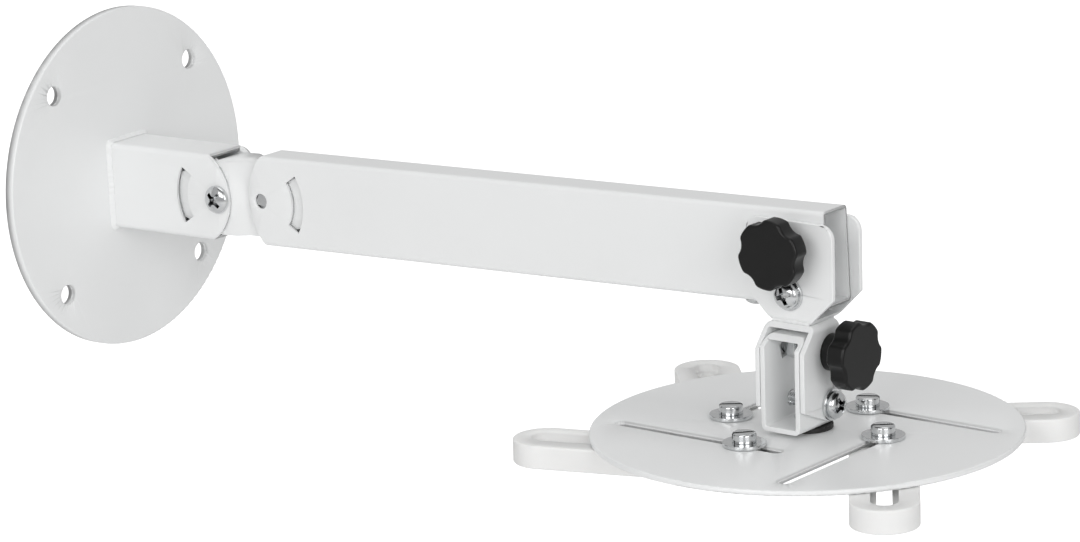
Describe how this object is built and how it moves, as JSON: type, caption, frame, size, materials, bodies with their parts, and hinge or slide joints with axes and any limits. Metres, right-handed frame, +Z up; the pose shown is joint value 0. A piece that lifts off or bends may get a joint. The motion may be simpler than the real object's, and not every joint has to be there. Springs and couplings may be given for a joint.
{
  "type": "projector wall mount",
  "caption": "Wall-mounted projector arm with swing link, tilt and roll joints held by star knobs, and a swivelling round plate with adjustable slotted legs.",
  "frame": {"origin": "centre of the wall plate's back face, which lies on the wall", "axes": "+X points out of the wall along the arm, +Z is up, +Y is to the left of a viewer who looks along +X"},
  "size_m": [0.4598, 0.1813, 0.1604],
  "materials": {
    "white": "glossy powder coat",
    "zinc": "bright zinc plated",
    "black_plastic": "fine moulded texture",
    "white_plastic": "moulded satin"
  },
  "bodies": {
    "wall_bracket": {"wall_plate": "white", "stub_tube": "white", "stub_weld": "white", "swing_screw": "zinc", "swing_washer": "zinc", "swing_nut": "zinc"},
    "link": {"link": "white", "link_pin": "zinc"},
    "arm": {"arm_tube": "white", "stop_screw": "zinc"},
    "yoke": {"upper_yoke": "white", "roll_yoke": "white", "yoke_weld": "white", "tilt_screw": "zinc", "tilt_washers": "zinc", "tilt_nut": "zinc", "tilt_clamp_bolt": "zinc", "roll_clamp_bolt": "zinc", "roll_clamp_nut": "zinc"},
    "tilt_knob": {"tilt_knob": "black_plastic"},
    "roll_knob": {"roll_knob": "black_plastic"},
    "base": {"base_frame": "white", "roll_pivot_screws": "zinc", "roll_pivot_washers": "zinc", "swivel_screw": "zinc", "friction_washer": "black_plastic", "swivel_washer": "zinc", "swivel_nut": "zinc"},
    "device_plate": {"device_plate": "white"},
    "leg_screw_back": {"leg_screw_back": "zinc", "leg_washer_back": "zinc"},
    "leg_nut_back": {"leg_nut_back": "zinc"},
    "leg_back": {"leg_back": "white_plastic"},
    "leg_screw_left": {"leg_screw_left": "zinc", "leg_washer_left": "zinc"},
    "leg_nut_left": {"leg_nut_left": "zinc"},
    "leg_left": {"leg_left": "white_plastic"},
    "leg_screw_front": {"leg_screw_front": "zinc", "leg_washer_front": "zinc"},
    "leg_nut_front": {"leg_nut_front": "zinc"},
    "leg_front": {"leg_front": "white_plastic"},
    "leg_screw_right": {"leg_screw_right": "zinc", "leg_washer_right": "zinc"},
    "leg_nut_right": {"leg_nut_right": "zinc"},
    "leg_right": {"leg_right": "white_plastic"}
  },
  "joints": [
    {"name": "swing_at_wall", "type": "hinge", "parent": "wall_bracket", "child": "link", "pos_m": [0.067, 0, -0.002], "axis": [0, 1, 0], "range_deg": [-15, 17]},
    {"name": "swing_at_arm", "type": "hinge", "parent": "link", "child": "arm", "pos_m": [0.0884, 0, -0.00163], "axis": [0, 1, 0], "range_deg": [-16, 16]},
    {"name": "tilt", "type": "hinge", "parent": "arm", "child": "yoke", "pos_m": [0.36911, 0, -0.01133], "axis": [0, 1, 0], "range_deg": [-20, 15.5]},
    {"name": "tilt_knob_turn", "type": "hinge", "parent": "yoke", "child": "tilt_knob", "pos_m": [0.36954, -0.02, 0.00787], "axis": [0, -1, 0], "continuous": true},
    {"name": "roll_knob_turn", "type": "hinge", "parent": "yoke", "child": "roll_knob", "pos_m": [0.38855, 0, -0.03667], "axis": [0.9998, 0, -0.0223], "continuous": true},
    {"name": "roll", "type": "hinge", "parent": "yoke", "child": "base", "pos_m": [0.36806, 0, -0.05832], "axis": [0.9998, 0, -0.0223], "range_deg": [-9, 4]},
    {"name": "swivel", "type": "hinge", "parent": "base", "child": "device_plate", "pos_m": [0.3678, 0, -0.06981], "axis": [0.0223, 0, 0.9998], "continuous": true},
    {"name": "back_screw_slide", "type": "slide", "parent": "device_plate", "child": "leg_screw_back", "axis": [0, 1, 0], "range_m": [-0.004, 0.024]},
    {"name": "back_leg_turn", "type": "hinge", "parent": "leg_screw_back", "child": "leg_nut_back", "pos_m": [0.33275, -0.004, -0.07163], "axis": [0.0223, 0, 0.9998], "range_deg": [-10, 60]},
    {"name": "back_leg_reach", "type": "slide", "parent": "leg_nut_back", "child": "leg_back", "axis": [-0.669, 0.7431, 0.0149], "range_m": [-0.002, 0.0007]},
    {"name": "left_screw_slide", "type": "slide", "parent": "device_plate", "child": "leg_screw_left", "axis": [-0.9998, 0, 0.0223], "range_m": [-0.015, 0.024]},
    {"name": "left_leg_turn", "type": "hinge", "parent": "leg_screw_left", "child": "leg_nut_left", "pos_m": [0.36105, -0.035, -0.07226], "axis": [0.0223, 0, 0.9998], "range_deg": [-6, 60]},
    {"name": "left_leg_reach", "type": "slide", "parent": "leg_nut_left", "child": "leg_left", "axis": [-0.9561, -0.2924, 0.0214], "range_m": [-0.007, 0.0012]},
    {"name": "front_screw_slide", "type": "slide", "parent": "device_plate", "child": "leg_screw_front", "axis": [0, -1, 0], "range_m": [-0.003, 0.07]},
    {"name": "front_leg_turn", "type": "hinge", "parent": "leg_screw_front", "child": "leg_nut_front", "pos_m": [0.40274, 0.0031, -0.0732], "axis": [0.0223, 0, 0.9998], "range_deg": [-14, 60]},
    {"name": "front_leg_reach", "type": "slide", "parent": "leg_nut_front", "child": "leg_front", "axis": [0.5547, -0.832, -0.0124], "range_m": [-0.003, 0.0085]},
    {"name": "right_screw_slide", "type": "slide", "parent": "device_plate", "child": "leg_screw_right", "axis": [0.9998, 0, -0.0223], "range_m": [-0.012, 0.004]},
    {"name": "right_leg_turn", "type": "hinge", "parent": "leg_screw_right", "child": "leg_nut_right", "pos_m": [0.37414, 0.035, -0.07256], "axis": [0.0223, 0, 0.9998], "range_deg": [-14, 16]},
    {"name": "right_leg_reach", "type": "slide", "parent": "leg_nut_right", "child": "leg_right", "axis": [0.8068, 0.5906, -0.018], "range_m": [-0.005, 0.009]}
  ]
}
